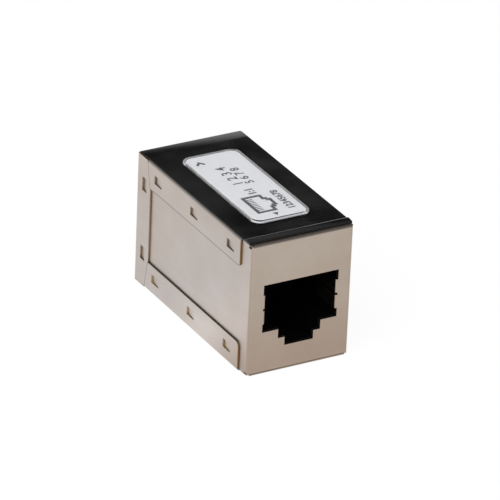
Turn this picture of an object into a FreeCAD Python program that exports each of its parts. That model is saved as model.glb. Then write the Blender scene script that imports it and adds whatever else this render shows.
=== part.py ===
import FreeCAD, Part
import os
from math import atan, cos, pi, sin, tan

from FreeCAD import Vector

# Shielded inline coupler for two modular plugs, in millimetres.
# The body's length lies along Y, the front port faces -Y, and the origin is at the middle of
# the base. Two interlocking folded shells hold two jacks back to back on a circuit board.

# Body, over the metal
body_length = 33.0
body_width = 16.65
body_height = 20.2
sheet = 0.25
corner_fold = 0.55
flange_fold = 0.4
end_fold = 0.3
shell_clearance = 0.02

# How far a cutting tool runs past the face that it cuts
overcut = 1.0

# Port opening, the same at both ends: a main slot with two steps down to the latch keyway
port_width = 11.8
port_top = 13.8
port_floor = 6.5
first_step_width = 6.7
first_step_depth = 1.4
second_step_width = 4.55
second_step_depth = 1.3

# Grounding fingers, folded in from the sides of each port
finger_height = 2.06
finger_slit = 0.35
finger_length = 5.2
finger_drop = 0.15
finger_set_in = 0.34
finger_lean = 0.2
finger_kick = 0.18
finger_kick_length = 1.3
finger_bend = 0.28

# Front shell
top_flange_length = 2.65
bottom_flange_length = 2.05
corner_gap = 0.06
foot_gap = 0.18
relief_length = 0.6
relief_height = 0.34
relief_inset = 0.33
flange_side_gap = 0.22
panel_end_gap = 0.35

# Rear shell: flanges folded over the front shell's side panels
top_setback = 2.8
bottom_setback = 2.3
upper_flange_height = 4.2
lower_flange_height = 4.38
upper_flange_corner = 0.45
lower_flange_corner = 0.8
rear_flange_width = 4.1
rear_seam_inner = 4.05
rear_seam_outer = 3.2
seam_width = 0.07

# Snap windows in those flanges, and the lances that fill them
window_length = 2.1
window_height = 1.3
window_over_base = 2.42
window_under_top = 2.15
first_window_inset = 5.52
last_window_inset = 6.36
windows_along = 3
rear_window_inset = 2.4
rear_window_over_base = 5.14
rear_window_under_top = 4.25
lance_height = 0.2
lance_clearance = 0.08

# Top cover, label and clear window
cover_side_inset = 0.22
cover_front_inset = 0.65
cover_rear_inset = 0.35
cover_thickness = 0.2
cover_corner = 0.12
cover_rear_slope = 2.6
cover_rear_drop = 0.14
lip_front_height = 0.3
lip_ridge_height = 0.42
lip_ridge_back = 1.1
lip_width = 1.75
plug_side_inset = 2.0
plug_end_inset = 3.5
plug_depth = 1.0
plug_corner = 1.0
plug_clearance = 0.06
seat_depth = 0.1
label_width = 8.3
label_end_inset = 5.9
label_corner = 1.1
label_thickness = 0.1
label_depth = 0.1
label_air = 0.05
label_clearance = 0.05
window_margin = 0.45
window_proud = 0.3
window_bevel = 0.18

# Jack housings
housing_clearance = 0.06
cavity_inset = 0.08
housing_collar = 2.4
housing_top_gap = 0.1
wire_clearance = 0.3
finger_pocket = 0.5
finger_clearance = 0.1
comb_depth = 2.0
comb_under_tip = 1.4
comb_over_tip = 1.2
comb_slot = 0.56
comb_web = 0.5

# Contacts: eight spring wires in each jack, held by a carrier, soldered to the board
contacts = 8
contact_pitch = 1.016
wire = 0.36
wire_bend = 0.55
wire_over_port = 0.9
wire_front = 3.0
hairpin_drop = 1.5
wire_tip_gap = 1.2
wire_tip_rise = 4.5
carrier_side = 1.05
carrier_length = 2.6
carrier_cap = 0.6
carrier_clearance = 0.05
pin_row_pitch = 1.4
pin_stick_out = 0.6

# Circuit board, upright across the middle
board_thickness = 1.6
board_inset = 0.3
board_gap = 1.0
board_hole = 0.66
board_hole_sides = 8
board_rim = 1.2

# Where these sizes put the pieces
front_end = -body_length / 2
rear_end = body_length / 2
panel_face = body_width / 2 - sheet - shell_clearance
inner_half = panel_face - sheet
finger_span = 2 * finger_height + finger_slit
finger_middle = (port_floor + port_top) / 2 - finger_drop

cover_width = body_width - 2 * cover_side_inset
cover_front = front_end + cover_front_inset
cover_rear = rear_end - cover_rear_inset
plug_width = body_width - 2 * plug_side_inset
plug_length = body_length - 2 * plug_end_inset
label_length = body_length - 2 * label_end_inset
label_floor = body_height + cover_thickness - label_depth - label_thickness

housing_half = inner_half - housing_clearance
housing_floor = sheet + housing_clearance
housing_top = body_height - plug_depth - housing_top_gap
carrier_back = -board_thickness / 2 - board_gap
cavity_back = carrier_back - carrier_length
wire_run = port_top + wire_over_port
wire_tip = port_floor + wire_tip_rise


def place(view, a, b, depth):
    """A point of an outline drawn as seen along one axis, at a place on that axis."""
    if view == "x":
        return Vector(depth, a, b)
    if view == "y":
        return Vector(a, depth, b)
    return Vector(a, b, depth)


def rounded_wire(points, radii):
    """A closed wire through the points, with each corner rounded by its radius."""
    starts = []
    ends = []
    arcs = []
    for i, point in enumerate(points):
        to_last = points[i - 1] - point
        to_next = points[(i + 1) % len(points)] - point
        to_last.normalize()
        to_next.normalize()
        half_angle = to_last.getAngle(to_next) / 2
        if radii[i] < 1e-6:
            starts.append(point)
            ends.append(point)
            arcs.append(None)
            continue
        reach = radii[i] / tan(half_angle)
        middle = (to_last + to_next).normalize()
        deep = radii[i] / sin(half_angle) - radii[i]
        starts.append(point + to_last * reach)
        ends.append(point + to_next * reach)
        arcs.append(Part.Arc(starts[-1], point + middle * deep, ends[-1]).toShape())
    edges = []
    for i, arc in enumerate(arcs):
        if arc:
            edges.append(arc)
        following = starts[(i + 1) % len(points)]
        if ends[i].distanceToPoint(following) > 1e-6:
            edges.append(Part.makeLine(ends[i], following))
    return Part.Wire(edges)


def prism(view, outline, start, end, radii=0.0):
    """A solid of one outline, drawn as seen along an axis, from start to end on it."""
    if not isinstance(radii, (list, tuple)):
        radii = [radii] * len(outline)
    points = [place(view, a, b, start) for a, b in outline]
    face = Part.Face(rounded_wire(points, radii))
    return face.extrude(place(view, 0, 0, end - start))


def folded(view, path, start, end, bends, thickness=sheet):
    """Sheet folded along a path. The path is one face, and the sheet lies to its left.

    The bends are the outer radius of the folds, or a list with one radius for each.
    """
    if not isinstance(bends, (list, tuple)):
        bends = [bends] * (len(path) - 2)
    steps = []
    for (a0, b0), (a1, b1) in zip(path, path[1:]):
        step = Vector(a1 - a0, b1 - b0, 0)
        steps.append(step.normalize())
    lefts = [Vector(-step.y, step.x, 0) for step in steps]
    near = [Vector(a, b, 0) for a, b in path]
    far = [near[0] + lefts[0] * thickness]
    near_radii = [0.0]
    far_radii = [0.0]
    for i in range(1, len(steps)):
        share = 1 + lefts[i - 1].dot(lefts[i])
        far.append(near[i] + (lefts[i - 1] + lefts[i]) * (thickness / share))
        turns_left = steps[i - 1].cross(steps[i]).z > 0
        bend = bends[i - 1]
        inner = max(bend - thickness, 0.0)
        near_radii.append(bend if turns_left else inner)
        far_radii.append(inner if turns_left else bend)
    far.append(near[-1] + lefts[-1] * thickness)
    near_radii.append(0.0)
    far_radii.append(0.0)
    outline = [(p.x, p.y) for p in near + far[::-1]]
    return prism(view, outline, start, end, near_radii + far_radii[::-1])


def block(x0, x1, y0, y1, z0, z1):
    return Part.makeBox(x1 - x0, y1 - y0, z1 - z0, Vector(x0, y0, z0))


def rectangle(a_middle, b_middle, a_size, b_size):
    a0 = a_middle - a_size / 2
    a1 = a_middle + a_size / 2
    b0 = b_middle - b_size / 2
    b1 = b_middle + b_size / 2
    return [(a0, b0), (a1, b0), (a1, b1), (a0, b1)]


def ring(a_middle, b_middle, radius, sides):
    """A regular outline with a number of sides."""
    turns = [2 * pi * (i + 0.5) / sides for i in range(sides)]
    return [(a_middle + radius * cos(turn), b_middle + radius * sin(turn)) for turn in turns]


def half_turn(shape):
    """The same piece at the other end of the body."""
    turned = shape.copy()
    turned.rotate(Vector(0, 0, 0), Vector(0, 0, 1), 180)
    return turned


def mirrored(shape):
    """The same piece on the other side of the body."""
    return shape.mirror(Vector(0, 0, 0), Vector(1, 0, 0))


def fuse(shapes):
    return shapes[0].multiFuse(shapes[1:]).removeSplitter()


def cut(shape, tools):
    return shape.cut(Part.makeCompound(tools))


# Port

def port_outline(grow):
    """The stepped port, seen from the front, grown by a clearance all round."""
    first_floor = port_floor - first_step_depth
    keyway_floor = first_floor - second_step_depth
    right = [
        (port_width / 2 + grow, port_top + grow),
        (port_width / 2 + grow, port_floor - grow),
        (first_step_width / 2 + grow, port_floor - grow),
        (first_step_width / 2 + grow, first_floor - grow),
        (second_step_width / 2 + grow, first_floor - grow),
        (second_step_width / 2 + grow, keyway_floor - grow),
    ]
    left = [(-x, z) for x, z in right[::-1]]
    return right + left


def port_cut():
    """What is cut out of the front end face for the port."""
    return prism("y", port_outline(0), front_end - overcut, front_end + overcut)


def fingers():
    """Two spring fingers on each side of the front port."""
    surface = port_width / 2 - finger_set_in
    root = surface + finger_bend + sheet
    path = [
        (root, front_end),
        (surface, front_end),
        (surface - finger_lean, front_end + finger_length - finger_kick_length),
        (surface + finger_kick, front_end + finger_length),
    ]
    low = finger_middle - finger_span / 2
    rows = [low, low + finger_height + finger_slit]
    right = [folded("z", path[::-1], z, z + finger_height, finger_bend) for z in rows]
    return right + [mirrored(finger) for finger in right]


# Shells

def window_places():
    """Middle, length along Y and height of each snap window on one side of the body."""
    first = front_end + first_window_inset
    pitch = (rear_end - last_window_inset - first) / (windows_along - 1)
    places = []
    for i in range(windows_along):
        for z in (window_over_base, body_height - window_under_top):
            places.append((first + i * pitch, z, window_length, window_height))
    for z in (rear_window_over_base, body_height - rear_window_under_top):
        places.append((rear_end - rear_window_inset, z, window_height, window_length))
    return places


def lances():
    """Snap lances on the right side panel: a ramp that rises to a step at its front."""
    bumps = []
    dents = []
    for y, z, length, height in window_places():
        y0 = y - length / 2 + lance_clearance
        y1 = y + length / 2 - lance_clearance
        z0 = z - height / 2 + lance_clearance
        z1 = z + height / 2 - lance_clearance
        ramp = [(panel_face, y0), (panel_face + lance_height, y0), (panel_face, y1)]
        bump = prism("z", ramp, z0, z1)
        bumps.append(bump)
        dents.append(bump.translated(Vector(-sheet, 0, 0)))
    return bumps, dents


def relief_holes():
    """Small oblong holes through both sides, where the folds meet at the front corners."""
    return [prism("x", rectangle(front_end + corner_fold, z, relief_length, relief_height),
                  -body_width, body_width, relief_height / 3)
            for z in (relief_inset, body_height - relief_inset)]


def front_shell():
    """Front end face, side panels and short flanges, folded from one sheet."""
    panel_end = rear_end - sheet - panel_end_gap
    top_end = front_end + top_flange_length
    bottom_end = front_end + bottom_flange_length
    behind_fold = front_end + corner_fold
    fold_half = panel_face - corner_fold
    flange_half = panel_face - flange_side_gap
    edge = flange_fold + shell_clearance
    low = end_fold
    high = body_height - end_fold

    plan = [(-panel_face, panel_end), (-panel_face, front_end),
            (panel_face, front_end), (panel_face, panel_end)]
    wrap = folded("z", plan, 0, body_height, corner_fold)
    side = [
        (front_end, foot_gap), (bottom_end, foot_gap), (bottom_end, edge), (panel_end, edge),
        (panel_end, body_height - edge), (top_end, body_height - edge),
        (top_end, body_height - corner_gap), (front_end, body_height - corner_gap),
    ]
    wrap = wrap.common(prism("x", side, -panel_face, panel_face, [end_fold] + [0] * 6 + [end_fold]))
    wrap = cut(wrap, [block(-fold_half, fold_half, front_end - overcut, behind_fold, z0, z1)
                      for z0, z1 in ((0, low), (high, body_height))])

    bumps, dents = lances()
    bumps += [mirrored(bump) for bump in bumps]
    dents += [mirrored(dent) for dent in dents]
    wrap = cut(fuse([wrap] + bumps), dents)

    top_path = [(top_end, body_height), (front_end, body_height), (front_end, high)]
    bottom_path = [(front_end, low), (front_end, 0), (bottom_end, 0)]
    shell = fuse([
        wrap,
        folded("x", top_path, -fold_half, fold_half, end_fold),
        folded("x", bottom_path, -fold_half, fold_half, end_fold),
        block(-flange_half, flange_half, behind_fold, top_end, body_height - sheet, body_height),
        block(-flange_half, flange_half, behind_fold, bottom_end, 0, sheet),
    ])
    shell = cut(shell, [port_cut()] + relief_holes())
    return fuse([shell] + fingers())


def side_flanges():
    """The three flanges that fold over the right side panel, with their windows."""
    half = body_width / 2
    inner = half - flange_fold - sheet
    upper_front = front_end + top_setback
    lower_front = front_end + bottom_setback
    upper_edge = body_height - upper_flange_height
    lower_edge = lower_flange_height
    seam_inner = rear_end - rear_seam_inner
    seam_outer = rear_end - rear_seam_outer
    rear_edge = rear_end - rear_flange_width
    low = corner_gap
    high = body_height - corner_gap

    upper = folded("y", [(half, upper_edge), (half, body_height), (inner, body_height)],
                   upper_front, seam_outer, flange_fold)
    upper_outline = [(upper_front, body_height), (upper_front, upper_edge),
                     (seam_inner, upper_edge), (seam_outer, body_height)]
    upper = upper.common(prism("x", upper_outline, 0, half, [0, upper_flange_corner, 0, 0]))

    lower = folded("y", [(inner, 0), (half, 0), (half, lower_edge)],
                   lower_front, seam_outer, flange_fold)
    lower_outline = [(lower_front, 0), (lower_front, lower_edge),
                     (seam_inner, lower_edge), (seam_outer, 0)]
    lower = lower.common(prism("x", lower_outline, 0, half, [0, lower_flange_corner, 0, 0]))

    rear = folded("z", [(half, rear_edge), (half, rear_end), (inner, rear_end)],
                  low, high, corner_fold)
    rear_outline = [
        (rear_end, high), (seam_outer + seam_width, high),
        (seam_inner + seam_width, upper_edge - seam_width), (rear_edge, upper_edge - seam_width),
        (rear_edge, lower_edge + seam_width), (seam_inner + seam_width, lower_edge + seam_width),
        (seam_outer + seam_width, low), (rear_end, low),
    ]
    rear = rear.common(prism("x", rear_outline, 0, half, [end_fold] + [0] * 6 + [end_fold]))

    holes = []
    for y, z, length, height in window_places():
        outline = rectangle(y, z, length, height)
        holes.append(prism("x", outline, inner_half, half + overcut))
    return [cut(flange, holes) for flange in (upper, lower, rear)]


def rear_shell():
    """Rear end face, top and bottom panels and the flanges over the side panels."""
    half = body_width / 2 - flange_fold
    profile = [(front_end + bottom_setback, 0), (rear_end, 0), (rear_end, body_height),
               (front_end + top_setback, body_height)]
    wrap = folded("x", profile, -half, half, end_fold)
    right = side_flanges()
    shell = fuse([wrap] + right + [mirrored(flange) for flange in right])
    plug = rectangle(0, 0, plug_width + 2 * plug_clearance, plug_length + 2 * plug_clearance)
    seat = prism("z", plug, body_height - sheet - seat_depth, body_height + overcut, plug_corner)
    shell = cut(shell, [half_turn(port_cut()), seat])
    return fuse([shell] + [half_turn(finger) for finger in fingers()])


# Top cover, label and clear window

def cover_plate():
    """Plate with a raised lip along its front edge and a gentle fall towards its rear edge."""
    plan = rectangle(0, (cover_front + cover_rear) / 2, cover_width, cover_rear - cover_front)
    plate = prism("z", plan, body_height, body_height + lip_ridge_height, cover_corner)
    top = body_height + cover_thickness
    profile = [
        (cover_front, body_height), (cover_front, body_height + lip_front_height),
        (cover_front + lip_ridge_back, body_height + lip_ridge_height),
        (cover_front + lip_width, top), (cover_rear - cover_rear_slope / 2, top),
        (cover_rear, top - cover_rear_drop), (cover_rear, body_height),
    ]
    fall = cover_rear_slope / 2
    rear_radius = fall / tan(atan(cover_rear_drop / fall) / 2)
    radii = [0, lip_front_height / 2, lip_width - lip_ridge_back, 0, rear_radius, 0, 0]
    return plate.common(prism("x", profile, -cover_width / 2, cover_width / 2, radii))


def top_cover():
    """Black cover: a thin plate with a front lip, and a body that sinks into the top panel."""
    body = prism("z", rectangle(0, 0, plug_width, plug_length),
                 body_height - plug_depth, body_height, plug_corner)
    cover = fuse([cover_plate(), body])
    clear = 2 * (window_margin + label_clearance)
    bed = rectangle(0, 0, label_width + clear, label_length + clear)
    recess = prism("z", bed, label_floor, label_floor + overcut,
                   label_corner + window_margin + label_clearance)
    return cut(cover, [recess])


def label():
    return prism("z", rectangle(0, 0, label_width, label_length), label_floor,
                 label_floor + label_thickness, label_corner)


def label_window():
    """Clear window with a bevelled edge. Its underside is hollowed to hold the label."""
    width = label_width + 2 * window_margin
    length = label_length + 2 * window_margin
    top = body_height + cover_thickness + window_proud
    corner = label_corner + window_margin
    plate = prism("z", rectangle(0, 0, width, length), label_floor, top, corner)
    rim = [edge for edge in plate.Edges if edge.BoundBox.ZMin > top - 1e-6]
    plate = plate.makeChamfer(window_bevel, rim)
    clear = 2 * label_clearance
    hollow = prism("z", rectangle(0, 0, label_width + clear, label_length + clear),
                   label_floor - overcut, label_floor + label_thickness + label_air,
                   label_corner + label_clearance)
    return cut(plate, [hollow])


# Jacks

def contact_x(index):
    return (index - (contacts - 1) / 2) * contact_pitch


def pin_row(index, end):
    """Height of a contact's pin, which takes one of two rows in its jack's part of the board."""
    return wire_run - (2 * end + index % 2) * pin_row_pitch


def contact(index, end):
    """One spring wire: pin, run over the port, hairpin and the sprung leg in the port."""
    row = pin_row(index, end)
    knee = cavity_back + carrier_length / 2
    front = front_end + wire_front
    path = [(board_thickness / 2 + pin_stick_out, row)]
    bends = [wire_bend, wire_bend]
    if row < wire_run:
        path += [(knee, row), (knee, wire_run)]
        bends = [0.0, 0.0] + bends
    path += [
        (front, wire_run), (front, wire_run - hairpin_drop),
        (cavity_back - wire_tip_gap, wire_tip),
    ]
    x = contact_x(index)
    return folded("x", path, x - wire / 2, x + wire / 2, bends, wire)


def carrier_floor(end):
    return pin_row(1, end) - wire - carrier_cap


def carrier(end):
    """Block that holds the eight wires where they turn towards the board."""
    half = contacts * contact_pitch / 2 + carrier_side
    body = block(-half, half, cavity_back, carrier_back, carrier_floor(end),
                 wire_run + carrier_cap)
    return cut(body, [contact(i, end) for i in range(contacts)])


def comb():
    """Slotted bar across the back of the port that parts the tips of the wires."""
    half = port_width / 2
    front = cavity_back - comb_depth
    floor = wire_tip - comb_under_tip
    top = wire_tip + comb_over_tip
    slots = []
    for i in range(contacts):
        x = contact_x(i)
        slots.append(block(x - comb_slot / 2, x + comb_slot / 2, front - overcut,
                           cavity_back - comb_web, floor + comb_web, top + overcut))
    return cut(block(-half, half, front, cavity_back, floor, top), slots)


def jack_housing(end):
    """Black port body behind one end face, open at the back towards the board."""
    y0 = front_end + sheet + housing_clearance
    y1 = -board_thickness / 2
    collar_top = body_height - sheet - housing_clearance
    corners = [corner_fold, corner_fold, 0, 0]
    body = fuse([
        prism("z", rectangle(0, (y0 + y1) / 2, 2 * housing_half, y1 - y0),
              housing_floor, housing_top, corners),
        prism("z", rectangle(0, y0 + housing_collar / 2, 2 * housing_half, housing_collar),
              housing_floor, collar_top, corners),
    ])
    cavity = prism("y", port_outline(-cavity_inset), front_end, cavity_back)
    bay_half = contacts * contact_pitch / 2 + wire_clearance
    bay = block(-bay_half, bay_half, front_end + wire_front - wire_clearance, cavity_back,
                finger_middle, wire_run + wire_clearance)
    pocket_half = port_width / 2 + finger_pocket
    pocket_height = finger_span / 2 + finger_clearance
    pocket_end = front_end + finger_length + finger_clearance
    pocket = block(-pocket_half, pocket_half, front_end, pocket_end,
                   finger_middle - pocket_height, finger_middle + pocket_height)
    seat_half = contacts * contact_pitch / 2 + carrier_side + carrier_clearance
    seat = block(-seat_half, seat_half, cavity_back - carrier_clearance, 0,
                 carrier_floor(end), wire_run + carrier_cap + carrier_clearance)
    rim_half = housing_half - board_rim
    back = block(-rim_half, rim_half, carrier_back, 0,
                 housing_floor + board_rim, housing_top - board_rim)
    return fuse([cut(body, [cavity, bay, pocket, seat, back]), comb()])


def circuit_board():
    """Upright board between the jacks, with a hole for each contact's pin."""
    half = housing_half - board_inset
    face = -board_thickness / 2
    board = block(-half, half, face, -face, housing_floor + board_inset,
                  housing_top - board_inset)
    holes = []
    for end, turn in ((0, 1), (1, -1)):
        for i in range(contacts):
            x = turn * contact_x(i)
            z = pin_row(i, end) - wire / 2
            holes.append(prism("y", ring(x, z, board_hole / 2, board_hole_sides), face, -face))
    return cut(board, holes)


nodes = {
    "front_shell": front_shell(),
    "rear_shell": rear_shell(),
    "top_cover": top_cover(),
    "label": label(),
    "label_window": label_window(),
    "front_jack_housing": jack_housing(0),
    "rear_jack_housing": half_turn(jack_housing(1)),
    "front_contact_carrier": carrier(0),
    "rear_contact_carrier": half_turn(carrier(1)),
    "circuit_board": circuit_board(),
}
for number in range(contacts):
    nodes["front_contact_%d" % (number + 1)] = contact(number, 0)
    nodes["rear_contact_%d" % (number + 1)] = half_turn(contact(number, 1))

os.makedirs("parts", exist_ok=True)
for name, shape in nodes.items():
    shape.exportStep("parts/%s.step" % name)
    print("%-24s solids %d  valid %s  volume %.3f" % (
        name, len(shape.Solids), shape.isValid(), shape.Volume))
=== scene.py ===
from math import atan2, cos, pi, radians, sin, tan

import bmesh
import bpy
from mathutils import Matrix, Vector

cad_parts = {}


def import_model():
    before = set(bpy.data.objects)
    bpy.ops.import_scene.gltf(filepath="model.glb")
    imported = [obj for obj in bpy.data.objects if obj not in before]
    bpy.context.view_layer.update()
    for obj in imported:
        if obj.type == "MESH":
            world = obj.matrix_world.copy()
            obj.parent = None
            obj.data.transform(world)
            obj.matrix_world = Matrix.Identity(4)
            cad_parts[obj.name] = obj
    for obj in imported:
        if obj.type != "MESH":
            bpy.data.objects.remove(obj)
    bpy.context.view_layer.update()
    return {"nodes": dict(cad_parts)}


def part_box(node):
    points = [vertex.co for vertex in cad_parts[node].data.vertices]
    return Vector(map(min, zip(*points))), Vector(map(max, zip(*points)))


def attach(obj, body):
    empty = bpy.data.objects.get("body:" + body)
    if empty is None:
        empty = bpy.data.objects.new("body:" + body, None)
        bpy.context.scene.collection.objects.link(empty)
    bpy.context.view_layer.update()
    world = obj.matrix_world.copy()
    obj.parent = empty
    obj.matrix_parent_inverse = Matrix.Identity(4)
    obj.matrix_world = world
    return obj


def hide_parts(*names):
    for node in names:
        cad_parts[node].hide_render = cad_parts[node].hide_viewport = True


# Shielded inline coupler for two modular plugs. Metres; the front port faces -Y, +Z is up.
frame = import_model()

MM = 0.001

# The shells' sheet, how far the metal reaches, and how far its folds are rounded
SHEET = 0.25 * MM
METAL_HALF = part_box("rear_shell")[1].x
METAL_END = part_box("rear_shell")[1].y
METAL_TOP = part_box("rear_shell")[1].z
FOLD = 0.5 * MM

# The side flanges: where the lower one's upper edge and the upper one's lower edge run
LOWER_FLANGE_EDGE = 4.38 * MM
FLANGE_EDGE = METAL_TOP - 4.2 * MM
FLANGE_FRONT = -METAL_END + 2.8 * MM
FLANGE_REAR = METAL_END - 4.1 * MM

# How far the snap windows keep from their flanges' edges, and the share of the end faces' half
# width and height that the ports stay within
WINDOWS_INSET = 0.6 * MM
PORT_REACH = 0.75

# Top cover: its front lip and the gentle fall towards its rear edge
PLATE_HEIGHT = 0.2 * MM
PLATE_EDGE = 0.07 * MM
LIP_FRONT = 0.3 * MM
LIP_RIDGE = 0.42 * MM
LIP_RIDGE_BACK = 1.1 * MM
LIP_WIDTH = 1.5 * MM
LIP_FOOT = 0.1 * MM
FALL_LENGTH = 2.6 * MM
FALL_DROP = 0.14 * MM
FALL_END = 0.02 * MM

# Clear window over the label, and the gaps round it and round the label under it
WINDOW_CORNER = 1.55 * MM
WINDOW_MARGIN = 0.45 * MM
WINDOW_DOME = 0.34 * MM
BED_GAP = 0.05 * MM
LABEL_AIR = 0.05 * MM
LABEL_SIDE_GAP = 0.05 * MM
LABEL_END_GAP = 0.01 * MM

# Corners nearer than this become one, and a face this square to an axis is shaded flat
WELD = 0.0005 * MM
SQUARE = 0.9999

# Facets along a rounded corner of an outline, of the cover's side view, of the cover's edges
# and of the window's edge
CORNER_STEPS = 10
PROFILE_STEPS = 8
EDGE_STEPS = 4
DOME_STEPS = 8

# Lines of digits: text, middle along X and Y, height, and how much bolder than the plain face
DIGITS = (
    ("1 2 3 4", -0.62 * MM, 3.4 * MM, 1.5 * MM, 0.014),
    ("5 6 7 8", 1.08 * MM, 2.9 * MM, 1.3 * MM, 0.02),
    ("12345678", 2.68 * MM, -5.95 * MM, 1.05 * MM, 0.04),
    ("1:1", -0.25 * MM, -2.0 * MM, 1.15 * MM, 0.05),
)
DIGIT_SHARE = 0.7       # how high a digit is, as a share of its face's size

# The rest of the print: a picture of the port, and a mark at each end of the label
PICTURE_PLACE = (-0.75 * MM, -5.95 * MM)
PICTURE_WIDTH = 4.7 * MM
CONTACTS = 8
STROKE = 0.5 * MM
MARK_SIZE = 0.62 * MM
REAR_MARK_PLACE = (-2.6 * MM, 8.5 * MM)
FRONT_MARK_PLACE = (-0.35 * MM, -9.4 * MM)
INK_DEPTH = 0.015 * MM

# Linear colours of the shells' sheet and its cut edges, the darker brown of an upturned edge, and
# painted shade and highlight on the sheet
NICKEL = (0.66, 0.61, 0.57)
NICKEL_CLOUD = (0.6204, 0.5612, 0.513)
NICKEL_SPECK = (0.42, 0.36, 0.30)
BRASS = (0.60, 0.43, 0.24)
BRASS_PLATED = tuple((bare + plated) / 2 for bare, plated in zip(BRASS, NICKEL))
BRASS_PAINTED_GLINT = (0.92, 0.80, 0.48)
BRASS_SPOT = (0.1, 0.07, 0.04)
UPTURNED_EDGE_BROWN = (0.29, 0.235, 0.15)
RIM_PAINTED_SHADE = (0.22, 0.18, 0.15)
LIP_PAINTED_SHADE = (0.17, 0.125, 0.095)
SEAM_PAINTED_SHADE = (0.13, 0.105, 0.075)
PORT_PAINTED_SHADE = (0.05, 0.045, 0.04)

# Camera: where it stands about the middle of the base, and how it is turned
CAMERA_AZIMUTH = radians(-30.14)
CAMERA_ELEVATION = radians(27.06)
CAMERA_ROLL = radians(2.49)
CAMERA_DISTANCE = 681.9 * MM
CAMERA_RIGHT = 1.43 * MM
CAMERA_UP = 9.22 * MM
LENS = 347.2
SENSOR = 36.0
CLIP = (0.01, 20.0)

# The one lamp: where it stands and faces, how wide it is and its power in watts
KEY_PLACE = (-0.40, -0.30, 0.62)
KEY_TARGET = (0, 0, 0.01)
KEY_SIZE = 0.7
KEY_POWER = 2.05

# Painted light on the table as metal reflects it, at places along Y from front to back: a glow,
# darker just in front of the object where painted shade stands for its shadow
TABLE_PAINTED_GLOW = (
    (-60 * MM, (0.66, 0.61, 0.55)),
    (-42 * MM, (0.625, 0.57, 0.505)),
    (-18 * MM, (0.49, 0.39, 0.31)),
    (-2 * MM, (0.95, 0.93, 0.94)),
    (10 * MM, (0.745, 0.735, 0.755)),
    (45 * MM, (0.76, 0.73, 0.71)),
)

# The floor: how far it reaches, and how far under the base it lies so that the two don't flicker.
# The camera sees its glow and, on top, how much light falls on it, which keeps the shadow. It
# returns the last tone to pieces that don't shine.
FLOOR_REACH = 3.0
FLOOR_DROP = 0.02 * MM
FLOOR_GLOW = (0.90, 0.90, 0.90)
FLOOR_LIT = (0.22, 0.22, 0.22)
FLOOR_DIFFUSE = (0.8, 0.8, 0.8)

# The room: how bright it is at each height, from the horizon at 0 to overhead at 1, and the same
# towards the wall behind the object
ROOM = ((0.0, 0.42), (0.50, 0.42), (0.65, 0.27), (1.0, 0.27))
ROOM_BEHIND = ((0.0, 0.20), (0.28, 0.0), (0.56, 0.0), (0.62, 0.48), (0.72, 0.40), (1.0, 0.27))

# That wall, white as shiny surfaces see it: which way it is, over what share of that way it sets
# in, and how high it reaches
WALL_TOWARDS = (0.5, 0.866, 0.0)
WALL_SIDE = (0.45, 0.75)
WALL_TOP = (0.24, 0.38)


# ---------------------------------------------------------------- small helpers for nodes

def new_material(name):
    """A material with an empty node tree, its output and its Principled shader."""
    material = bpy.data.materials.new(name)
    material.use_nodes = True
    tree = material.node_tree
    tree.nodes.clear()
    output = tree.nodes.new("ShaderNodeOutputMaterial")
    shader = tree.nodes.new("ShaderNodeBsdfPrincipled")
    tree.links.new(shader.outputs[0], output.inputs["Surface"])
    return material, tree, shader, output


def node(tree, kind, **values):
    """A node of one kind, with properties set by name and inputs set by their label."""
    made = tree.nodes.new("ShaderNode" + kind)
    for name, value in values.items():
        if hasattr(made, name):
            setattr(made, name, value)
        else:
            made.inputs[name.replace("_", " ").title()].default_value = value
    return made


def position(tree, stretch=(1, 1, 1)):
    """The place on the object, in metres, stretched along each axis."""
    where = tree.nodes.new("ShaderNodeTexCoord")
    mapping = tree.nodes.new("ShaderNodeMapping")
    mapping.inputs["Scale"].default_value = stretch
    tree.links.new(where.outputs["Object"], mapping.inputs["Vector"])
    return mapping.outputs[0]


def split(tree, vector):
    """A vector's outputs along X, Y and Z."""
    made = node(tree, "SeparateXYZ")
    tree.links.new(vector, made.inputs[0])
    return list(made.outputs)


def noise(tree, scale, detail, stretch=(1, 1, 1)):
    """Noise from 0 to 1, with features about 1/scale metres across."""
    made = node(tree, "TexNoise", Scale=scale, Detail=detail)
    tree.links.new(position(tree, stretch), made.inputs["Vector"])
    return made.outputs["Fac"]


def to_range(tree, value, low, high, from_low=0.0, from_high=1.0):
    """A value mapped from one range to another."""
    made = node(tree, "MapRange")
    for name, number in (("From Min", from_low), ("From Max", from_high),
                         ("To Min", low), ("To Max", high)):
        made.inputs[name].default_value = number
    tree.links.new(value, made.inputs["Value"])
    return made.outputs[0]


def math(tree, operation, a, b=None):
    """One sum of two values, each a number or a socket."""
    made = node(tree, "Math", operation=operation)
    for socket, value in zip(made.inputs, (a, b)):
        if value is None:
            continue
        if isinstance(value, (int, float)):
            socket.default_value = value
        else:
            tree.links.new(value, socket)
    return made.outputs[0]


def joined(tree, operation, values):
    """One operation over a row of values, each a number or a socket."""
    total = values[0]
    for value in values[1:]:
        total = math(tree, operation, total, value)
    return total


def product(tree, *values):
    return joined(tree, "MULTIPLY", values)


def greatest(tree, *values):
    return joined(tree, "MAXIMUM", values)


def above(tree, value, limit):
    """1 where a value is over a number, and 0 elsewhere."""
    return math(tree, "GREATER_THAN", value, limit)


def below(tree, value, limit):
    """1 where a value is under a number, and 0 elsewhere."""
    return math(tree, "LESS_THAN", value, limit)


def between(tree, value, low, high):
    """1 where a value lies between two numbers, and 0 elsewhere."""
    return product(tree, above(tree, value, low), below(tree, value, high))


def mix_colour(tree, share, a, b):
    """A mix of two colours, each a tuple or a socket, by a share from 0 to 1."""
    made = node(tree, "Mix", data_type="RGBA")
    sockets = [made.inputs[0], made.inputs[6], made.inputs[7]]
    for socket, value in zip(sockets, (share, a, b)):
        if isinstance(value, (int, float)):
            socket.default_value = value
        elif isinstance(value, tuple):
            socket.default_value = (*value, 1.0)
        else:
            tree.links.new(value, socket)
    return made.outputs[2]


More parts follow.
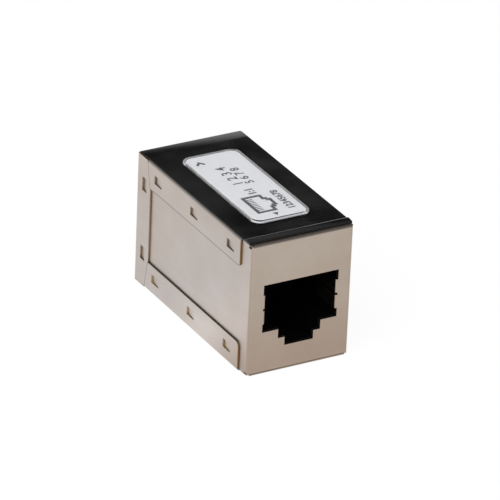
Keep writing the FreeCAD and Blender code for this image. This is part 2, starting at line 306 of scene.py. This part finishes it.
def mix_shaders(tree, share, first, second, output):
    """Shows the second of two shaders by a share from 0 to 1, and the first for the rest."""
    mix = node(tree, "MixShader")
    for socket, value in zip(mix.inputs, (share, first.outputs[0], second.outputs[0])):
        tree.links.new(value, socket)
    tree.links.new(mix.outputs[0], output.inputs["Surface"])


def bump(tree, shader, height, distance, strength, under=None):
    """Bump of the surface by a height from 0 to 1, as deep as distance in metres."""
    made = node(tree, "Bump", Strength=strength, Distance=distance)
    tree.links.new(height, made.inputs["Height"])
    if under is not None:
        tree.links.new(under, made.inputs["Normal"])
    tree.links.new(made.outputs[0], shader.inputs["Normal"])


def bevelled(tree, radius):
    """The surface's normal with its edges softened."""
    made = node(tree, "Bevel", samples=6, Radius=radius)
    return made.outputs[0]


# ---------------------------------------------------------------- materials

def sheet_marks(tree):
    """Where the shells' sheet looks other than plain plate, as shares from 0 to 1, by name."""
    place = split(tree, position(tree))
    facing = split(tree, node(tree, "NewGeometry").outputs["True Normal"])
    x, y, z = [math(tree, "ABSOLUTE", part) for part in place]
    turned_x, turned_y, turned_z = [math(tree, "ABSOLUTE", part) for part in facing]
    _, along, height = place
    slack = 0.01 * MM       # so that a face that lies on a limit is within it
    edge_on = 0.3           # the sheet's broad faces are turned more than this towards its axis
    inner = METAL_HALF - SHEET - slack

    flange_edge = product(tree, between(tree, x, inner, METAL_HALF), below(tree, turned_x, edge_on),
                          below(tree, y, METAL_END - FOLD),
                          between(tree, z, FOLD, METAL_TOP - FOLD))
    port_edge = product(tree, above(tree, y, METAL_END - SHEET - slack),
                        below(tree, turned_y, edge_on),
                        below(tree, x, PORT_REACH * METAL_HALF),
                        between(tree, z, FOLD, PORT_REACH * METAL_TOP))
    corner_edge = product(tree, above(tree, x, inner - SHEET), above(tree, turned_z, 0.9),
                          between(tree, z, METAL_TOP - FOLD, METAL_TOP - 3 * slack))

    # The snap windows lie well inside the flanges, and their lances within three sheets' depth
    low = between(tree, height, WINDOWS_INSET, LOWER_FLANGE_EDGE - WINDOWS_INSET)
    high = between(tree, height, FLANGE_EDGE + WINDOWS_INSET, METAL_TOP - WINDOWS_INSET)
    behind = above(tree, along, FLANGE_REAR + FOLD)
    windows = product(tree, greatest(tree, behind, low, high),
                      between(tree, x, METAL_HALF - 3 * SHEET, METAL_HALF - 3 * slack),
                      between(tree, along, FLANGE_FRONT + FOLD, METAL_END - FOLD))

    return {
        # The sheet's cut edges, and where along the body they are worn to bare brass
        "edge": greatest(tree, flange_edge, port_edge, corner_edge),
        "worn": below(tree, along, FLANGE_FRONT + 0.9 * MM),
        # The lower flange's upward-facing edge and the rounded corner at its end, coloured darker
        # brown
        "upturned_edge": product(tree, above(tree, facing[2], 0.5),
                           between(tree, height, LOWER_FLANGE_EDGE - 0.9 * MM,
                                   LOWER_FLANGE_EDGE + 0.05 * MM)),
        # Painted shade: a dark line along the upper flange's lower edge, where its shadow falls
        "rim": product(tree, between(tree, height, FLANGE_EDGE - 0.03 * MM, FLANGE_EDGE + 0.18 * MM),
                       between(tree, along, FLANGE_FRONT + 0.1 * MM, FLANGE_REAR),
                       above(tree, x, METAL_HALF - 0.04 * MM)),
        # Painted shade on the fold under the cover's front lip, darker upwards
        "lip_painted_shade": product(tree, to_range(tree, height, 0, 1,
                                            METAL_TOP - 0.36 * MM, METAL_TOP - 0.12 * MM),
                             below(tree, along, FOLD - METAL_END)),
        # All the snap windows' insides, and a painted highlight on the cut edges of the lower ones
        "windows": windows,
        "painted_glint": product(tree, windows, low, below(tree, turned_x, 0.5)),
        # Painted shade on the fingers and flaps that are folded into the ports
        "inside": product(tree, below(tree, x, 6.4 * MM), below(tree, turned_y, 0.5),
                          between(tree, z, 3.0 * MM, 15.0 * MM)),
    }


def plated_metal(name, roughness):
    """Dull nickel plate on rolled brass sheet, with bare cut edges, painted shade in the seams, along
    the upper flange's edge, under the cover's lip and inside the ports, and a painted highlight in
    the lower snap windows.
    """
    material, tree, shader, _ = new_material(name)
    shader.inputs["Metallic"].default_value = 1.0
    rolled = noise(tree, 900, 3, (1, 0.12, 1))
    cloudy = noise(tree, 140, 2)
    fine = noise(tree, 9000, 2)
    specks = noise(tree, 5200, 1)
    marks = sheet_marks(tree)

    bare = mix_colour(tree, marks["worn"], BRASS_PLATED, BRASS)
    bare = mix_colour(tree, product(tree, fine, 0.25), bare, BRASS_SPOT)
    bare = mix_colour(tree, marks["upturned_edge"], bare, UPTURNED_EDGE_BROWN)

    # Painted shade in seams and recesses: ambient occlusion darkens the plate's colour, less on cut
    # edges and in the snap windows
    seams = node(tree, "AmbientOcclusion", samples=12, Distance=0.5 * MM)
    seam_shade = product(tree, to_range(tree, seams.outputs["AO"], 1, 0, 0.55, 0.86),
                   to_range(tree, marks["edge"], 0.6, 0.15), to_range(tree, marks["windows"], 1, 0.4))

    plate = NICKEL
    for share, colour in (
            (to_range(tree, cloudy, 0, 1, 0.3, 0.7), NICKEL_CLOUD),
            (marks["edge"], bare),
            # painted shade along the upper flange's lower edge
            (product(tree, marks["rim"], 0.55), RIM_PAINTED_SHADE),
            # painted shade under the cover's front lip
            (product(tree, marks["lip_painted_shade"], 0.7), LIP_PAINTED_SHADE),
            # painted highlight: bright brass on the lower snap windows' cut edges
            (product(tree, marks["painted_glint"], 0.7), BRASS_PAINTED_GLINT),
            (to_range(tree, specks, 0, 0.16, 0.62, 0.78), NICKEL_SPECK),
            # painted shade in the seams, from ambient occlusion
            (seam_shade, SEAM_PAINTED_SHADE),
            # painted shade inside the ports
            (product(tree, marks["inside"], 0.85), PORT_PAINTED_SHADE)):
        plate = mix_colour(tree, share, plate, colour)
    tree.links.new(plate, shader.inputs["Base Color"])

    rough = to_range(tree, rolled, roughness - 0.04, roughness + 0.05, 0.25, 0.75)
    tree.links.new(rough, shader.inputs["Roughness"])
    height = math(tree, "ADD", product(tree, rolled, 0.6), product(tree, fine, 0.4))
    bump(tree, shader, height, 0.004 * MM, 0.5, bevelled(tree, 0.06 * MM))
    return material


def black_plastic(name, colour, roughness, depth, edge):
    """Moulded black plastic with a fine grain of some depth and softened edges."""
    material, tree, shader, _ = new_material(name)
    grainy = noise(tree, 4200, 3)
    patchy = noise(tree, 160, 2)
    tree.links.new(mix_colour(tree, patchy, colour, tuple(part * 1.5 for part in colour)),
                   shader.inputs["Base Color"])
    rough = to_range(tree, patchy, roughness - 0.04, roughness + 0.06, 0.3, 0.7)
    tree.links.new(rough, shader.inputs["Roughness"])
    bump(tree, shader, grainy, depth, 0.5, bevelled(tree, edge))
    return material


def grained(name, grain, colours, roughness, relief, metallic=0.0, edge=None):
    """A material whose colour, roughness and relief follow one noise.

    grain is the noise's scale, detail and stretch; relief is the bump's depth and strength; edge
    is the radius that softens its edges.
    """
    material, tree, shader, _ = new_material(name)
    shader.inputs["Metallic"].default_value = metallic
    grainy = noise(tree, *grain)
    tree.links.new(mix_colour(tree, grainy, *colours), shader.inputs["Base Color"])
    tree.links.new(to_range(tree, grainy, *roughness), shader.inputs["Roughness"])
    bump(tree, shader, grainy, *relief, bevelled(tree, edge) if edge else None)
    return material


def clear_plastic(name):
    """Clear acrylic that lets light through to what is under it."""
    material, tree, shader, output = new_material(name)
    shader.inputs["Base Color"].default_value = (0.97, 0.975, 0.98, 1)
    shader.inputs["Transmission Weight"].default_value = 1.0
    shader.inputs["IOR"].default_value = 1.45
    haze = noise(tree, 900, 3)
    tree.links.new(to_range(tree, haze, 0.02, 0.06), shader.inputs["Roughness"])
    bump(tree, shader, haze, 0.002 * MM, 0.2, bevelled(tree, 0.05 * MM))
    through = node(tree, "BsdfTransparent")
    through.inputs[0].default_value = (0.95, 0.95, 0.95, 1)
    mix_shaders(tree, node(tree, "LightPath").outputs["Is Shadow Ray"], shader, through, output)
    return material


def dress(material, *names):
    """Gives CAD nodes their material."""
    for name in names:
        mesh = frame["nodes"][name].data
        mesh.materials.clear()
        mesh.materials.append(material)


# ---------------------------------------------------------------- mesh pieces

def finished(name, mesh, material):
    """An object of the part made from a bmesh, with its material, slot and body.

    Faces square to an axis are shaded flat, and the rounded ones between them smooth.
    """
    data = bpy.data.meshes.new(name)
    bmesh.ops.remove_doubles(mesh, verts=mesh.verts, dist=WELD)
    bmesh.ops.recalc_face_normals(mesh, faces=mesh.faces)
    for face in mesh.faces:
        face.smooth = max(abs(part) for part in face.normal) < SQUARE
    mesh.to_mesh(data)
    mesh.free()
    data.materials.append(material)
    made = bpy.data.objects.new(name, data)
    bpy.context.scene.collection.objects.link(made)
    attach(made, "root")
    return made


def rounded_rectangle(half_x, half_y, radius):
    """Points round a rectangle with rounded corners, anticlockwise."""
    points = []
    for corner, (sx, sy) in enumerate(((1, 1), (-1, 1), (-1, -1), (1, -1))):
        for step in range(CORNER_STEPS + 1):
            turn = (corner + step / CORNER_STEPS) * pi / 2
            points.append((sx * (half_x - radius) + radius * cos(turn),
                           sy * (half_y - radius) + radius * sin(turn)))
    return points


def loop_at(mesh, outline, z):
    return [mesh.verts.new((x, y, z)) for x, y in outline]


def ring(corners):
    """Each corner of a closed loop with the one after it."""
    return list(zip(corners, corners[1:] + corners[:1]))


def bridge(mesh, first, second):
    """Quads between two loops of as many points."""
    return [mesh.faces.new((a, b, d, c)) for (a, b), (c, d) in zip(ring(first), ring(second))]


def left(direction):
    return Vector((-direction.y, direction.x))


def rounded_profile(corners):
    """Points and outward directions along a profile of corners, each with its radius.

    A corner is a place along Y, a height and a radius. Outward is to the path's left.
    """
    places = [Vector((y, z)) for y, z, _ in corners]
    made = [(places[0], left((places[1] - places[0]).normalized()))]
    for i in range(1, len(places) - 1):
        inward = (places[i] - places[i - 1]).normalized()
        onward = (places[i + 1] - places[i]).normalized()
        turn = atan2(inward.cross(onward), inward.dot(onward))
        radius = corners[i][2]
        side = -1 if turn > 0 else 1
        start = places[i] - inward * radius * tan(abs(turn) / 2)
        centre = start - left(inward) * radius * side
        for step in range(PROFILE_STEPS + 1):
            angle = atan2(inward.y, inward.x) + turn * step / PROFILE_STEPS
            out = left(Vector((cos(angle), sin(angle))))
            made.append((centre + out * radius * side, out))
    made.append((places[-1], left((places[-1] - places[-2]).normalized())))
    return made


def cover_profile(front, rear):
    """The cover's side view: lip, roof and fall, which rounds over almost its whole length."""
    top = METAL_TOP + PLATE_HEIGHT
    fall = FALL_LENGTH / 2
    turn = atan2(FALL_DROP, fall)
    return rounded_profile([
        (front, METAL_TOP, 0.0),
        (front, METAL_TOP + LIP_FRONT, LIP_FRONT / 2),
        (front + LIP_RIDGE_BACK, METAL_TOP + LIP_RIDGE, LIP_WIDTH - LIP_RIDGE_BACK),
        (front + LIP_WIDTH, top, LIP_FOOT),
        (rear - fall, top, 0.98 * fall / tan(turn / 2)),
        (rear, top - FALL_DROP, FALL_END),
        (rear, METAL_TOP, 0.0),
    ])


def cover_skin(material):
    """The black cover with softened edges and the bed that the window sits in."""
    low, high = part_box("top_cover")
    half = high.x
    turns = [i * pi / 2 / EDGE_STEPS for i in range(EDGE_STEPS + 1)]
    mesh = bmesh.new()
    rows = []
    for place, out in cover_profile(low.y, high.y):
        row = []
        for side, angles in ((-1, turns[::-1]), (1, turns)):
            edge = []
            for angle in angles:
                x = side * (half - PLATE_EDGE + PLATE_EDGE * sin(angle))
                y, z = place - out * PLATE_EDGE * (1 - cos(angle))
                edge.append(mesh.verts.new((x, y, max(z, METAL_TOP))))
            skirt = mesh.verts.new((side * half, edge[0 if side < 0 else -1].co.y, METAL_TOP))
            row += [skirt] + edge if side < 0 else edge + [skirt]
        rows.append(row)

    # The longest face along Y is the roof, which is left open for the window's bed
    middle = len(turns)
    roof = max(range(len(rows) - 1),
               key=lambda i: rows[i + 1][middle].co.y - rows[i][middle].co.y)
    for i, (row, following) in enumerate(zip(rows, rows[1:])):
        for j in range(len(row) - 1):
            if i == roof and j == middle:
                continue
            mesh.faces.new((row[j], row[j + 1], following[j + 1], following[j]))

    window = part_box("label_window")[1]
    outline = rounded_rectangle(window.x + BED_GAP, window.y + BED_GAP, WINDOW_CORNER + BED_GAP)
    rim = loop_at(mesh, outline, METAL_TOP + PLATE_HEIGHT)
    bridge(mesh, rim, loop_at(mesh, outline, METAL_TOP))
    corners = [rows[roof][middle], rows[roof][middle + 1],
               rows[roof + 1][middle + 1], rows[roof + 1][middle]]
    edges = [mesh.edges.get(pair) for pair in ring(rim) + ring(corners)]
    bmesh.ops.triangle_fill(mesh, use_beauty=True, edges=edges)

    # What is still open is the underside
    bmesh.ops.remove_doubles(mesh, verts=mesh.verts, dist=WELD)
    under = [edge for edge in mesh.edges if edge.is_boundary]
    bmesh.ops.triangle_fill(mesh, use_beauty=True, edges=under)
    made = finished("cover_skin", mesh, material)
    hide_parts("top_cover")


def window_dome(material, glue):
    """The clear window: a thin lens with domed edges, hollow under its middle for the label.

    The margin that it rests on is glued.
    """
    low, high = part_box("label_window")
    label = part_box("label")[1]
    shoulder = METAL_TOP + PLATE_HEIGHT
    mesh = bmesh.new()
    hollow = rounded_rectangle(label.x + LABEL_SIDE_GAP, label.y + LABEL_END_GAP,
                               WINDOW_CORNER - WINDOW_MARGIN + LABEL_SIDE_GAP)
    loops = [loop_at(mesh, hollow, z) for z in (label.z + LABEL_AIR, low.z)]
    loops.append(loop_at(mesh, rounded_rectangle(high.x, high.y, WINDOW_CORNER), low.z))
    for step in range(DOME_STEPS + 1):
        angle = step * pi / 2 / DOME_STEPS
        inset = WINDOW_DOME * (1 - cos(angle))
        z = shoulder + (high.z - shoulder) * sin(angle)
        outline = rounded_rectangle(high.x - inset, high.y - inset, WINDOW_CORNER - inset)
        loops.append(loop_at(mesh, outline, z))
    margin = 1      # between the hollow's foot and the window's own outline
    for number, (first, second) in enumerate(zip(loops, loops[1:])):
        for face in bridge(mesh, first, second):
            face.material_index = 1 if number == margin else 0
    mesh.faces.new(loops[0])
    mesh.faces.new(loops[-1])
    made = finished("window_dome", mesh, material)
    made.data.materials.append(glue)
    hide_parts("label_window")


# ---------------------------------------------------------------- label print

def on_label(mesh, place):
    """Gives flat print the ink's depth, turns it to read along +Y, and moves it to its place."""
    bmesh.ops.remove_doubles(mesh, verts=mesh.verts, dist=WELD)
    raised = bmesh.ops.extrude_face_region(mesh, geom=mesh.faces[:])["geom"]
    corners = [part for part in raised if isinstance(part, bmesh.types.BMVert)]
    bmesh.ops.translate(mesh, vec=(0, 0, INK_DEPTH), verts=corners)
    turn = Matrix.Rotation(pi / 2, 4, "Z")
    spot = Matrix.Translation((place[0], place[1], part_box("label")[1].z))
    bmesh.ops.transform(mesh, matrix=spot @ turn, verts=mesh.verts)


def digits(name, text, place, height, bold, material):
    """A line of digits."""
    curve = bpy.data.curves.new(name, "FONT")
    curve.body = text
    curve.size = height / DIGIT_SHARE
    curve.offset = bold * height
    curve.align_x = "CENTER"
    curve.align_y = "CENTER"
    curve.resolution_u = 4
    holder = bpy.data.objects.new(name, curve)
    bpy.context.scene.collection.objects.link(holder)
    bpy.context.view_layer.update()
    flat = bpy.data.meshes.new_from_object(holder)
    bpy.data.objects.remove(holder)
    mesh = bmesh.new()
    mesh.from_mesh(flat)
    on_label(mesh, place)
    finished(name, mesh, material)


def stroke(mesh, points, width, closed=False):
    """A flat line of even width through points, mitred at its corners."""
    places = [Vector(point) for point in points]
    count = len(places)
    sides = []
    for i, place in enumerate(places):
        before = places[i - 1] if i or closed else None
        after = places[(i + 1) % count] if i < count - 1 or closed else None
        ways = [(b - a).normalized() for a, b in ((before, place), (place, after)) if a and b]
        outs = [left(way) for way in ways]
        out = outs[0] if len(outs) == 1 else (outs[0] + outs[1]) / (1 + outs[0].dot(outs[1]))
        sides.append([mesh.verts.new((*(place + out * width * k), 0)) for k in (-0.5, 0.5)])
    last = count if closed else count - 1
    for i in range(last):
        a, b = sides[i], sides[(i + 1) % count]
        mesh.faces.new((a[0], b[0], b[1], a[1]))


def port_picture(material):
    """A plain picture of the port, which narrows downwards in two steps, with its contacts."""
    half = PICTURE_WIDTH / 2
    shoulder = 0.56 * half
    keyway = 0.36 * half
    top = 0.36 * PICTURE_WIDTH
    base = -0.2 * PICTURE_WIDTH
    step = 0.09 * PICTURE_WIDTH
    contact = 0.24 * PICTURE_WIDTH
    pitch = 1.62 * half / CONTACTS
    right = [(half, top), (half, base), (shoulder, base), (shoulder, base - step),
             (keyway, base - step), (keyway, base - 2 * step)]
    outline = right + [(-u, v) for u, v in right[::-1]]
    mesh = bmesh.new()
    stroke(mesh, outline, STROKE, closed=True)
    for i in range(CONTACTS):
        u = (i - (CONTACTS - 1) / 2) * pitch
        stroke(mesh, [(u, top), (u, top - contact)], STROKE * 0.36)
    on_label(mesh, PICTURE_PLACE)
    finished("port_picture", mesh, material)


def end_marks(material):
    """Small plain marks at both ends of the label: a chevron behind and a wedge at the front."""
    chevron = bmesh.new()
    points = [(MARK_SIZE * u, MARK_SIZE * v) for u, v in ((-0.6, 1), (0.6, 0), (-0.6, -1))]
    stroke(chevron, points, STROKE * 0.8)
    on_label(chevron, REAR_MARK_PLACE)
    finished("rear_mark", chevron, material)
    wedge = bmesh.new()
    wedge.faces.new([wedge.verts.new((MARK_SIZE * u, MARK_SIZE * v, 0))
                     for u, v in ((-0.8, 0), (0.5, 0.75), (0.5, -0.75))])
    on_label(wedge, FRONT_MARK_PLACE)
    finished("front_mark", wedge, material)


# ---------------------------------------------------------------- studio

def camera():
    """The photo's camera."""
    back = Vector((sin(CAMERA_AZIMUTH) * cos(CAMERA_ELEVATION),
                   -cos(CAMERA_AZIMUTH) * cos(CAMERA_ELEVATION), sin(CAMERA_ELEVATION)))
    right = Vector((cos(CAMERA_AZIMUTH), sin(CAMERA_AZIMUTH), 0))
    up = back.cross(right)
    rolled_right = right * cos(CAMERA_ROLL) + up * sin(CAMERA_ROLL)
    rolled_up = up * cos(CAMERA_ROLL) - right * sin(CAMERA_ROLL)
    data = bpy.data.cameras.new("camera")
    data.lens = LENS
    data.sensor_width = SENSOR
    data.clip_start, data.clip_end = CLIP
    made = bpy.data.objects.new("camera", data)
    turn = Matrix((rolled_right, rolled_up, back)).transposed().to_4x4()
    place = rolled_right * CAMERA_RIGHT + rolled_up * CAMERA_UP + back * CAMERA_DISTANCE
    made.matrix_world = Matrix.Translation(place) @ turn
    bpy.context.scene.collection.objects.link(made)
    bpy.context.scene.camera = made


def softbox(name, place, target, size, power):
    """A square area light that faces a point."""
    data = bpy.data.lights.new(name, "AREA")
    data.shape = "SQUARE"
    data.size = size
    data.energy = power
    made = bpy.data.objects.new(name, data)
    made.location = place
    facing = (Vector(target) - Vector(place)).to_track_quat("-Z", "Y")
    made.rotation_euler = facing.to_euler()
    bpy.context.scene.collection.objects.link(made)


def ramp(tree, value, levels):
    """A colour that follows a value from 0 to 1 through levels, each a value and a colour."""
    made = node(tree, "ValToRGB")
    stops = made.color_ramp.elements
    while len(stops) < len(levels):
        stops.new(0.5)
    for stop, (place, colour) in zip(stops, levels):
        stop.position = place
        stop.color = (*colour, 1.0)
    tree.links.new(value, made.inputs[0])
    return made.outputs[0]


def painted_table_glow(tree):
    """The table's painted glow along Y."""
    first, last = TABLE_PAINTED_GLOW[0][0], TABLE_PAINTED_GLOW[-1][0]
    along = to_range(tree, split(tree, position(tree))[1], 0, 1, first, last)
    return ramp(tree, along, [((y - first) / (last - first), tone) for y, tone in TABLE_PAINTED_GLOW])


def floor():
    """A pale floor that shows as the white background and keeps the object's shadow.

    What shines sees a painted glow on it instead: brighter beside and behind the object than in
    front, with painted shade just in front of it.
    """
    mesh = bpy.data.meshes.new("floor")
    corners = [(x * FLOOR_REACH, y * FLOOR_REACH, -FLOOR_DROP)
               for x, y in ((-1, -1), (1, -1), (1, 1), (-1, 1))]
    mesh.from_pydata(corners, [], [(0, 1, 2, 3)])
    made = bpy.data.objects.new("floor", mesh)
    bpy.context.scene.collection.objects.link(made)
    material, tree, shader, output = new_material("floor_white")
    shader.inputs["Base Color"].default_value = (*FLOOR_DIFFUSE, 1)
    shader.inputs["Roughness"].default_value = 0.9
    shader.inputs["Specular IOR Level"].default_value = 0.0

    path = node(tree, "LightPath").outputs
    glow = node(tree, "Emission", Strength=1.0)
    tree.links.new(mix_colour(tree, path["Is Camera Ray"], painted_table_glow(tree), FLOOR_GLOW),
                   glow.inputs["Color"])
    lit = node(tree, "BsdfDiffuse")
    lit.inputs[0].default_value = (*FLOOR_LIT, 1)
    shown = node(tree, "AddShader")
    tree.links.new(glow.outputs[0], shown.inputs[0])
    tree.links.new(lit.outputs[0], shown.inputs[1])
    seen = greatest(tree, path["Is Camera Ray"], path["Is Transmission Ray"],
                    path["Is Glossy Ray"])
    mix_shaders(tree, seen, shader, shown, output)
    mesh.materials.append(material)


def world():
    """A softly lit room with a white wall behind, which shows as white past the floor."""
    made = bpy.data.worlds.new("room")
    bpy.context.scene.world = made
    made.use_nodes = True
    tree = made.node_tree
    background = tree.nodes["Background"]
    direction = node(tree, "TexCoord").outputs["Generated"]
    height = split(tree, direction)[2]
    levels = [ramp(tree, height, [(place, (level,) * 3) for place, level in stops])
              for stops in (ROOM, ROOM_BEHIND)]

    towards = node(tree, "VectorMath", operation="DOT_PRODUCT")
    towards.inputs[1].default_value = WALL_TOWARDS
    tree.links.new(direction, towards.inputs[0])
    behind = to_range(tree, towards.outputs["Value"], 0, 1, *WALL_SIDE)
    path = node(tree, "LightPath").outputs
    wall = product(tree, behind, to_range(tree, height, 1, 0, *WALL_TOP), path["Is Glossy Ray"])
    brightness = greatest(tree, mix_colour(tree, behind, *levels), wall,
                          path["Is Camera Ray"], path["Is Transmission Ray"])
    tree.links.new(brightness, background.inputs["Strength"])
    background.inputs["Color"].default_value = (1, 1, 1, 1)


camera()
floor()
world()
softbox("key", KEY_PLACE, KEY_TARGET, KEY_SIZE, KEY_POWER)

bpy.context.scene.view_settings.view_transform = "Standard"

nickel = plated_metal("nickel_plate", 0.4)
cover_black = black_plastic("cover_black", (0.005, 0.0046, 0.0046), 0.2, 0.004 * MM, 0.1 * MM)
housing_black = black_plastic("housing_black", (0.0025, 0.0025, 0.0027), 0.22,
                              0.006 * MM, 0.08 * MM)
clear = clear_plastic("clear_plastic")

# Matt label stock with a faint fibre, dull printing ink, the dried glue in the window's margin,
# gold plate on drawn wire, and solder mask on woven glass laminate
white_paper = grained("white_paper", (5200, 4, (1, 0.35, 1)),
                      ((0.80, 0.805, 0.83), (0.86, 0.865, 0.885)), (0.55, 0.7), (0.003 * MM, 0.4))
black_ink = grained("black_ink", (3000, 3),
                    ((0.012, 0.012, 0.014), (0.03, 0.03, 0.035)), (0.45, 0.65), (0.002 * MM, 0.3))
pale_glue = grained("pale_glue", (1500, 3),
                    ((0.22, 0.22, 0.22), (0.42, 0.42, 0.42)), (0.5, 0.7), (0.01 * MM, 0.3))
gold_plate = grained("gold_plate", (2600, 3, (1, 0.1, 0.1)),
                     ((0.80, 0.57, 0.22), (0.90, 0.68, 0.32)), (0.16, 0.3), (0.002 * MM, 0.4),
                     metallic=1.0, edge=0.05 * MM)
green_board = grained("green_laminate", (1800, 2, (1, 1, 0.3)),
                      ((0.02, 0.10, 0.045), (0.035, 0.15, 0.07)), (0.3, 0.45), (0.006 * MM, 0.4))

dress(nickel, "front_shell", "rear_shell")
dress(cover_black, "top_cover")
dress(housing_black, "front_jack_housing", "rear_jack_housing",
      "front_contact_carrier", "rear_contact_carrier")
dress(white_paper, "label")
dress(clear, "label_window")
dress(green_board, "circuit_board")
dress(gold_plate, *[name for name in frame["nodes"] if "_contact_" in name
                    and not name.endswith("carrier")])

cover_skin(cover_black)
window_dome(clear, pale_glue)
for number, (text, x, y, height, bold) in enumerate(DIGITS):
    digits("digits_%d" % (number + 1), text, (x, y), height, bold, black_ink)
port_picture(black_ink)
end_marks(black_ink)
